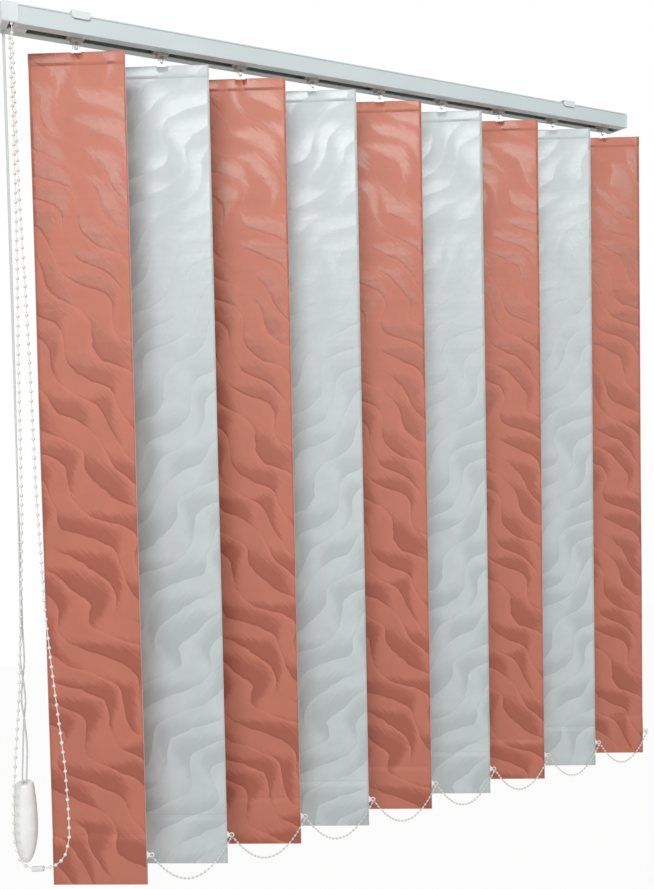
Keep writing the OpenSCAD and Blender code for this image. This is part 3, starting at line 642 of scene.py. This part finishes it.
def fold_section(settings):
    """The strip's section (normal, height): hem flap, top fold, front, pocket, bottom fold, back flap.

    The folds are half circles. Flap and front come together on smooth steps, 3 t t - 2 t t t.
    """
    r, q = settings.top_room, settings.low_room
    top_seam, low_seam = VANE_TOP - settings.top_hem, VANE_BOT + settings.bottom_hem
    lap = 0.8 * settings.cloth
    top_ease, low_ease = 5 * MM, 9 * MM
    ease = np.linspace(0, 1, 6)
    swell = ease * ease * (3 - 2 * ease)
    turn = np.linspace(0, np.pi, 9)
    sheet_z = np.linspace(top_seam, low_seam, 90)[1:-1]
    pocket_z = np.linspace(low_seam - low_ease, VANE_BOT + q, 8)[1:-1]
    rise = np.stack([lap + (r - lap) * swell, top_seam + top_ease * ease], -1)
    over = np.stack([r * np.cos(turn), VANE_TOP - r + r * np.sin(turn)], -1)
    fall = np.stack([-r + r * swell, top_seam + top_ease * (1 - ease)], -1)
    front = np.stack([0 * sheet_z, sheet_z], -1)
    open_pocket = np.stack([-q * swell, low_seam - low_ease * ease], -1)
    pocket = np.stack([0 * pocket_z - q, pocket_z], -1)
    under = np.stack([-q * np.cos(turn), VANE_BOT + q - q * np.sin(turn)], -1)
    back = np.stack([0 * pocket_z + q, pocket_z[::-1]], -1)
    close = np.stack([q + (lap - q) * swell, low_seam - low_ease * (1 - ease)], -1)
    return np.concatenate([rise, over, fall, front, open_pocket, pocket, under, back, close])


class BLIND_OT_vanes(bpy.types.Operator):
    """Hang one folded strip of satin cloth on each hanger"""

    bl_idname = "blind.vanes"
    bl_label = "Cloth vanes"

    NOTCH_DEPTH = 5 * MM
    PRINT_SHIFT = 73 * MM

    def execute(self, context):
        settings = context.scene.blind_vanes
        coral = figured_satin(
            "coral_satin", settings, settings.coral, settings.coral_deep,
            shine=(1.0, 0.72, 0.60), flow=1.0, crisp=0.9, gloss=0.24)
        white = figured_satin(
            "white_satin", settings, settings.white, settings.white_deep,
            shine=(1.0, 1.0, 1.0), flow=-1.0, crisp=0.25, gloss=0.38)
        section = fold_section(settings)
        hang = lengths(section)
        fold = hang[np.argmax(section[:, 1])]
        half, notch = settings.width / 2, settings.notch
        across = np.unique(np.concatenate([np.linspace(-half, half, 27), [-notch, notch]]))
        u, row = np.meshgrid(across, np.arange(len(section)))
        height = section[row, 1]
        faces = self.faces(section[:, 1], across, notch)
        for k in VANES:
            normal = section[row, 0] + settings.ripple * self.wave(u / half, height, k)
            maps = {"cloth": np.stack([u, hang[row] - fold], -1).reshape(-1, 2),
                    "print": np.stack([u, height + self.PRINT_SHIFT * k], -1).reshape(-1, 2)}
            points = turned(np.stack([u, normal, height], -1), AXIS_X[k], settings.tilt)
            piece = add_mesh(f"cloth_{k}", points, faces, maps, coral if k % 2 else white)
            wall = piece.modifiers.new("cloth", "SOLIDIFY")
            wall.thickness = settings.cloth
            wall.offset = 0
            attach(piece, f"vane_{k}")
            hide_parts(f"vane_{k}")
        return {"FINISHED"}

    def faces(self, heights, across, notch):
        """Quads of the strip, less those in the gap at the top where the hanger's tab stands out."""
        quads = grid_faces(len(heights), len(across))
        row, column = quads // len(across), quads % len(across)
        beside = np.abs(across[column[:, 0]] + across[column[:, 1]]) / 2 > notch
        below = (heights[row[:, 0]] + heights[row[:, 2]]) / 2 < VANE_TOP - self.NOTCH_DEPTH
        return quads[beside | below].tolist()

    def wave(self, side, height, k):
        """Two sines of the height, more at the edges, that fade to the folds as a sine's 0.7 power."""
        below = np.clip((VANE_TOP - height) / VANE_DROP, 0, 1)
        long_wave = np.sin(2.1 * np.pi * below + 1.3 * k) * 0.6
        short_wave = np.sin(5.3 * np.pi * below + 2.2 * k + 4.5 * side) * 0.4
        return (long_wave + short_wave) * (0.4 + side ** 2) * np.sin(np.pi * below) ** 0.7


class BLIND_OT_bottom_weights(bpy.types.Operator):
    """Slide a plastic weight with a chain ring into each bottom pocket"""

    bl_idname = "blind.bottom_weights"
    bl_label = "Bottom weights"

    PLATE_INSET = 1 * MM
    PLATE_FOOT = 1.5 * MM
    PLATE_HEIGHT = 60 * MM
    RING_MIDDLE = 2.8 * MM
    RING_HALF = 0.8 * MM

    def execute(self, context):
        settings = context.scene.blind_vanes
        plastic = moulded("weight_white", settings.weight_white, 0.3)
        ring_x = settings.width / 2 + settings.ring_reach
        ring_z = VANE_BOT + settings.ring_height
        points, faces = joined([
            self.plate(settings),
            self.ring(ring_x, ring_z, settings.weight),
            self.ear(settings, ring_x, ring_z),
        ])
        for k in VANES:
            piece = add_mesh(
                f"bottom_weight_{k}", turned(points, AXIS_X[k], settings.tilt), faces, {}, plastic)
            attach(piece, f"vane_{k}")
            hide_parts(f"vane_{k}")
        return {"FINISHED"}

    def plate(self, settings):
        """A round-cornered section carried along the width and drawn in at its ends.

        The section is a superellipse: the quarter powers of cosine and sine, with their signs.
        """
        half = settings.width / 2 - self.PLATE_INSET
        share = np.array([0, 0.002, 0.006, 0.5, 0.994, 0.998, 1.0])[:, None]
        drawn = np.array([0.94, 0.985, 1.0, 1.0, 1.0, 0.985, 0.94])[:, None]
        angle = np.arange(24) * (TURN / 24)
        cosine, sine = np.cos(angle), np.sin(angle)
        section_n = np.sign(cosine) * np.abs(cosine) ** 0.25 * settings.weight / 2
        section_z = np.sign(sine) * np.abs(sine) ** 0.25 * self.PLATE_HEIGHT / 2
        middle = VANE_BOT + self.PLATE_FOOT + self.PLATE_HEIGHT / 2
        return closed_tube(np.stack(np.broadcast_arrays(
            half * (2 * share - 1), drawn * section_n, middle + drawn * section_z), -1))

    def ring(self, ring_x, ring_z, thick):
        """A ring about the vane's normal: a rounded section carried round a circle."""
        turn = np.arange(28)[:, None] * (TURN / 28)
        angle = np.arange(10) * (TURN / 10)
        radius = self.RING_MIDDLE + self.RING_HALF * np.cos(angle)
        x, z = ring_x + radius * np.cos(turn), ring_z + radius * np.sin(turn)
        points = np.stack(np.broadcast_arrays(x, np.sin(angle) * thick / 2, z), -1)
        return points, grid_faces(28, 10, wrap_rows=True, wrap_columns=True).tolist()

    def ear(self, settings, ring_x, ring_z):
        """An oval section that narrows from the plate to the ring."""
        root, tip = settings.width / 2 - 3 * MM, ring_x - self.RING_MIDDLE + self.RING_HALF / 2
        x = np.linspace(root, tip, 5)[:, None]
        tall = np.array([6.5, 6.3, 5.2, 3.4, 2.0])[:, None] * MM
        angle = np.arange(16) * (TURN / 16)
        return closed_tube(np.stack(np.broadcast_arrays(
            x, 0.5 * settings.weight * np.cos(angle), ring_z + tall * np.sin(angle)), -1))


class BLIND_OT_control_chain(bpy.types.Operator):
    """String the control beads over the sprocket and round the hanging loop"""

    bl_idname = "blind.control_chain"
    bl_label = "Control chain"

    SPROCKET_LEFT = 83 * MM
    ROUTE = [
        (-82, -18, -120), (-80, -18, -220), (-77, -18, -310), (-75, -20, -395), (-74, -22, -480),
        (-73, -25, -565), (-71, -30, -635), (-69, -36, -710), (-65, -43, -775), (-60, -50, -840),
        (-54, -56, -910), (-52, -59, -970), (-52, -59, -1000), (-56, -56, -1020), (-63, -46, -1036),
        (-75, -27, -1047), (-94, -14, -1049), (-104, -9, -1038), (-110, -6, -1010), (-109, -5, -960),
        (-104, -4, -895), (-98, -3, -830), (-94, -3, -755), (-90, -2, -670), (-87, -2, -590),
        (-86, -1, -500), (-85, -1, -400), (-83, -1, -290), (-82, -1, -200), (-82, -1, -110),
    ]

    def execute(self, context):
        settings = context.scene.blind_strings
        centre = np.array(JOINTS["rod_spin"]["pos_m"])
        centre[0] = FIRST_X - self.SPROCKET_LEFT
        pocket = settings.bead_pitch / math.sqrt(2)
        seats = centre + pocket * np.array([(0, -1, 0), (0, 0, 1), (0, 1, 0)])
        front, top, back = seats
        line = np.concatenate([[front], from_first(self.ROUTE), [back]])
        reach = lengths(line)[-1]
        steps = round(reach / settings.bead_pitch)
        hanging = along(line, np.linspace(0, reach, steps + 1))
        centres = np.concatenate([[top], hanging, [top + [0, 1 * MM, 0.5 * MM]]])
        beads = np.ones(len(centres))
        beads[[0, 1, -2, -1]] = 0
        stations, radii = bead_line(centres, beads, settings.bead, settings.thread)
        finish = moulded("bead_white", settings.bead_white, 0.28)
        self.seated(seats, settings.bead, finish)
        piece = tube("bead_chain", stations, radii, 10, finish)
        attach(piece, "rail")
        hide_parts("control_chain")
        return {"FINISHED"}

    def seated(self, seats, radius, finish):
        """The three beads in the sprocket's pockets, which turn with it: a sphere round each seat."""
        mesh = bpy.data.meshes.new("seated_beads")
        balls = bmesh.new()
        for seat in seats:
            bmesh.ops.create_uvsphere(
                balls, u_segments=18, v_segments=12, radius=radius, matrix=Matrix.Translation(seat))
        balls.to_mesh(mesh)
        balls.free()
        piece = shown("seated_beads", mesh, finish)
        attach(piece, "tilt_drive")


class BLIND_OT_draw_cord(bpy.types.Operator):
    """Reeve the draw cord over its pulleys and round the cord weight"""

    bl_idname = "blind.draw_cord"
    bl_label = "Draw cord"

    WEIGHT_BEND = 2.6 * MM
    WEIGHT_DEPTH = 16 * MM
    SPACING = 2.5 * MM
    DOWN = [
        (-88, 8, -250), (-89, 9, -500), (-91, 10, -740), (-92.5, 12.5, -785), (-90, 9.5, -812),
        (-87.5, 12.5, -838), (-90, 15, -866), (-92.5, 12.5, -900),
    ]
    UP = [
        (-87.5, 12, -900), (-90, 9.5, -866), (-92.5, 12, -838), (-90, 15, -812), (-87.5, 12, -785),
        (-88, 15, -740), (-88, 16, -500), (-88, 16, -250),
    ]

    def arc(self, centre, radius, start, end, across, up, count=9):
        """Points of a circle's arc between two angles in the plane of two directions."""
        angle = np.radians(np.linspace(start, end, count))[:, None]
        return np.array(centre) + radius * (np.cos(angle) * across + np.sin(angle) * up)

    def execute(self, context):
        settings = context.scene.blind_strings
        x_way, y_way, z_way = np.eye(3)
        near, far, back = (
            np.array(JOINTS[f"pulley_{place}_spin"]["pos_m"]) for place in ("near", "far", "return"))
        wheel_r, back_r = back[2] - near[2], (far[1] - near[1]) / 2
        low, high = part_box("cord_weight")
        mouth = np.array([(low.x + high.x) / 2, (low.y + high.y) / 2, high.z])
        bend = self.WEIGHT_BEND
        start = np.array([LAST_X, near[1], back[2]])
        route = np.concatenate([
            [start], self.arc(near, wheel_r, 90, 180, x_way, z_way), from_first(self.DOWN),
            [mouth - bend * x_way],
            self.arc(mouth - self.WEIGHT_DEPTH * z_way, bend, 180, 360, x_way, z_way),
            [mouth + bend * x_way], from_first(self.UP), self.arc(far, wheel_r, 180, 90, x_way, z_way),
            self.arc(back, back_r, 90, -90, x_way, y_way, 13), [start + 1 * MM * x_way]])
        line = rounded(route, self.SPACING)
        finish = braid("cord_braid", settings.cord_white, settings.cord)
        piece = tube("cord", line, settings.cord / 2, 10, finish)
        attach(piece, "rail")
        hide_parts("draw_cord")
        return {"FINISHED"}


class BLIND_OT_bottom_chain(bpy.types.Operator):
    """Hang the small-bead chain in bows from ring to ring"""

    bl_idname = "blind.bottom_chain"
    bl_label = "Bottom chain"

    # The thread's way round a ring's lower band, from the ring's middle; both bows leave towards the room
    HITCH = [
        (-1.6, -3.4, -0.6), (-0.5, -1.7, -0.4), (0.3, 1.7, -0.4), (0.7, 1.9, -4.6), (0.9, -1.7, -4.7),
        (1.6, -3.4, -3.6),
    ]

    def execute(self, context):
        vanes, settings = context.scene.blind_vanes, context.scene.blind_strings
        ring = vanes.width / 2 + vanes.ring_reach
        first = np.array([FIRST_X + ring * math.cos(vanes.tilt), -ring * math.sin(vanes.tilt),
                          VANE_BOT + vanes.ring_height])
        hitch = np.array(self.HITCH) * MM
        bow = self.bow(hitch[-1], hitch[0] + [PITCH, 0, 0], settings)
        stretch = np.concatenate([hitch, bow])
        rings = np.arange(len(VANES))[:, None, None] * np.array([PITCH, 0, 0])
        centres = (first + rings + stretch).reshape(-1, 3)[:-len(bow)]
        beads = np.tile(np.repeat([0, 1], [len(hitch), len(bow)]), len(VANES))[:-len(bow)]
        stations, radii = bead_line(centres, beads, settings.small_bead, settings.small_thread)
        finish = moulded("small_bead_white", settings.small_white, 0.3)
        piece = tube("small_bead_chain", stations, radii, 8, finish)
        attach(piece, "bottom_chain")
        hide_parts("bottom_chain")
        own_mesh(piece)
        return {"FINISHED"}

    def bow(self, start, end, settings):
        """Evenly spaced bead centres on a bow: the straight line lowered by 4 * sag * t * (1 - t)."""
        t = np.linspace(0, 1, 41)[:, None]
        line = start + (end - start) * t - 4 * settings.sag * t * (1 - t) * np.array([0, 0, 1])
        reach = lengths(line)[-1]
        count = int(reach / settings.small_pitch)
        spare = (reach - (count - 1) * settings.small_pitch) / 2
        return along(line, spare + np.arange(count) * settings.small_pitch)


class BLIND_OT_hardware(bpy.types.Operator):
    """Finish the rail, end caps, clips, carriers, hooks and gears"""

    bl_idname = "blind.hardware"
    bl_label = "Rail and hardware"

    def execute(self, context):
        settings = context.scene.blind_hardware
        clear = clear_plastic("clear_hook")
        gears = moulded("gear_white", settings.gears, 0.45)
        finishes = {
            "headrail": painted("rail_paint", settings.rail),
            "control_end_cap": moulded("cap_white", settings.caps, 0.34),
            "return_end_cap": moulded("end_white", settings.caps, 0.34),
            "ceiling_brackets": painted("clip_paint", settings.clips),
            "tilt_rod": drawn_metal("rod_metal", settings.rod),
            "cord_weight": moulded("drop_white", settings.drop, 0.22, coat_weight=0.3),
            "chain_connector": moulded("connector_white", settings.connector, 0.25),
            "carrier": moulded("carrier_beige", settings.carriers, 0.5),
            "stem": clear,
            "hanger": clear,
        }
        for name, node in frame["nodes"].items():
            kind = name.rstrip("0123456789_")
            node.data.materials.clear()
            node.data.materials.append(finishes.get(kind, gears))
        return {"FINISHED"}


class BLIND_OT_stage(bpy.types.Operator):
    """Set the camera, the lamp, the world and the floor"""

    bl_idname = "blind.stage"
    bl_label = "Stage"

    def execute(self, context):
        settings = context.scene.blind_stage
        context.scene.view_settings.view_transform = "Standard"
        self.camera(context, settings)
        self.lamp(context, settings)
        self.world(context, settings)
        self.floor(settings)
        return {"FINISHED"}

    def camera(self, context, settings):
        yaw, pitch, roll = settings.yaw, settings.pitch, settings.roll
        reach = math.cos(pitch)
        ahead = Vector((math.sin(yaw) * reach, math.cos(yaw) * reach, math.sin(pitch)))
        level = Vector((math.cos(yaw), -math.sin(yaw), 0))
        upright = level.cross(ahead)
        right = math.cos(roll) * level + math.sin(roll) * upright
        up = math.cos(roll) * upright - math.sin(roll) * level
        data = bpy.data.cameras.new("camera")
        data.lens = settings.lens
        camera = bpy.data.objects.new("camera", data)
        turn = Matrix((right, up, -ahead)).transposed().to_4x4()
        camera.matrix_world = Matrix.Translation(settings.camera_at) @ turn
        context.scene.collection.objects.link(camera)
        context.scene.camera = camera

    def lamp(self, context, settings):
        """A large soft lamp in front of the vanes and above them, aimed at their upper half."""
        aim = Vector(((FIRST_X + LAST_X) / 2, 0, VANE_TOP * 0.6 + VANE_BOT * 0.4))
        data = bpy.data.lights.new("key", "AREA")
        data.shape = "RECTANGLE"
        data.size = settings.key_width
        data.size_y = settings.key_height
        data.energy = settings.key
        lamp = bpy.data.objects.new("key", data)
        lamp.location = aim + Vector(settings.key_at)
        lamp.rotation_mode = "QUATERNION"
        lamp.rotation_quaternion = (aim - lamp.location).to_track_quat("-Z", "Y")
        context.scene.collection.objects.link(lamp)

    def world(self, context, settings):
        """Even pale light on the object, white where the camera, a gloss or clear plastic sees past it."""
        world = bpy.data.worlds.new("studio")
        world.use_nodes = True
        nodes, links = world.node_tree.nodes, world.node_tree.links
        lit = nodes["Background"]
        lit.inputs["Color"].default_value = (0.97, 0.985, 1.0, 1.0)
        lit.inputs["Strength"].default_value = settings.fill
        seen = nodes.new("ShaderNodeBackground")
        seen.inputs["Color"].default_value = (1.0, 1.0, 1.0, 1.0)
        rays = nodes.new("ShaderNodeLightPath")
        share = rays.outputs["Is Camera Ray"]
        for kind in ("Is Glossy Ray", "Is Transmission Ray"):
            either = nodes.new("ShaderNodeMath")
            either.operation = "MAXIMUM"
            links.new(share, either.inputs[0])
            links.new(rays.outputs[kind], either.inputs[1])
            share = either.outputs[0]
        mixed = nodes.new("ShaderNodeMixShader")
        links.new(share, mixed.inputs[0])
        links.new(lit.outputs[0], mixed.inputs[1])
        links.new(seen.outputs[0], mixed.inputs[2])
        links.new(mixed.outputs[0], nodes["World Output"].inputs["Surface"])
        context.scene.world = world

    def floor(self, settings):
        """A plain pale floor at room height, near white for the camera, that keeps the object's shadow."""
        half, z = settings.floor_half, settings.floor
        corners = [(-half, -half, z), (half, -half, z), (half, half, z), (-half, half, z)]
        finish = Finish("floor_pale", base_color=(0.86, 0.82, 0.76), roughness=0.8)
        seen = finish.node("ShaderNodeLightPath", None, None, "Is Camera Ray") * 0.95
        glow = finish.node("ShaderNodeEmission", None, {"Color": (1.0, 1.0, 1.0)})
        mixed = finish.node("ShaderNodeMixShader", None, {0: seen, 2: glow})
        finish.tree.links.new(finish.shader.outputs[0], mixed.socket.node.inputs[1])
        finish.tree.links.new(mixed.socket, finish.tree.nodes["Material Output"].inputs["Surface"])
        add_mesh("floor", corners, [(0, 1, 2, 3)], {}, finish.material)


class BLIND_PT_pieces(bpy.types.Panel):
    """Lists the pieces of the blind"""

    bl_idname = "BLIND_PT_pieces"
    bl_label = "Vertical blind"
    bl_space_type = "VIEW_3D"
    bl_region_type = "UI"
    bl_category = "Blind"

    def draw(self, context):
        for operator in OPERATORS:
            self.layout.operator(operator.bl_idname)


OPERATORS = (
    BLIND_OT_hardware,
    BLIND_OT_vanes,
    BLIND_OT_bottom_weights,
    BLIND_OT_control_chain,
    BLIND_OT_draw_cord,
    BLIND_OT_bottom_chain,
    BLIND_OT_stage,
)
SETTINGS = {
    "blind_vanes": VaneSettings,
    "blind_strings": StringSettings,
    "blind_hardware": HardwareSettings,
    "blind_stage": StageSettings,
}
CLASSES = (*SETTINGS.values(), *OPERATORS, BLIND_PT_pieces)


def register():
    for item in CLASSES:
        bpy.utils.register_class(item)
    for name, group in SETTINGS.items():
        setattr(bpy.types.Scene, name, PointerProperty(type=group))


def unregister():
    for name in SETTINGS:
        delattr(bpy.types.Scene, name)
    for item in reversed(CLASSES):
        bpy.utils.unregister_class(item)


def main():
    register()
    for operator in OPERATORS:
        group, action = operator.bl_idname.split(".")
        getattr(getattr(bpy.ops, group), action)()


if __name__ == "__main__":
    main()
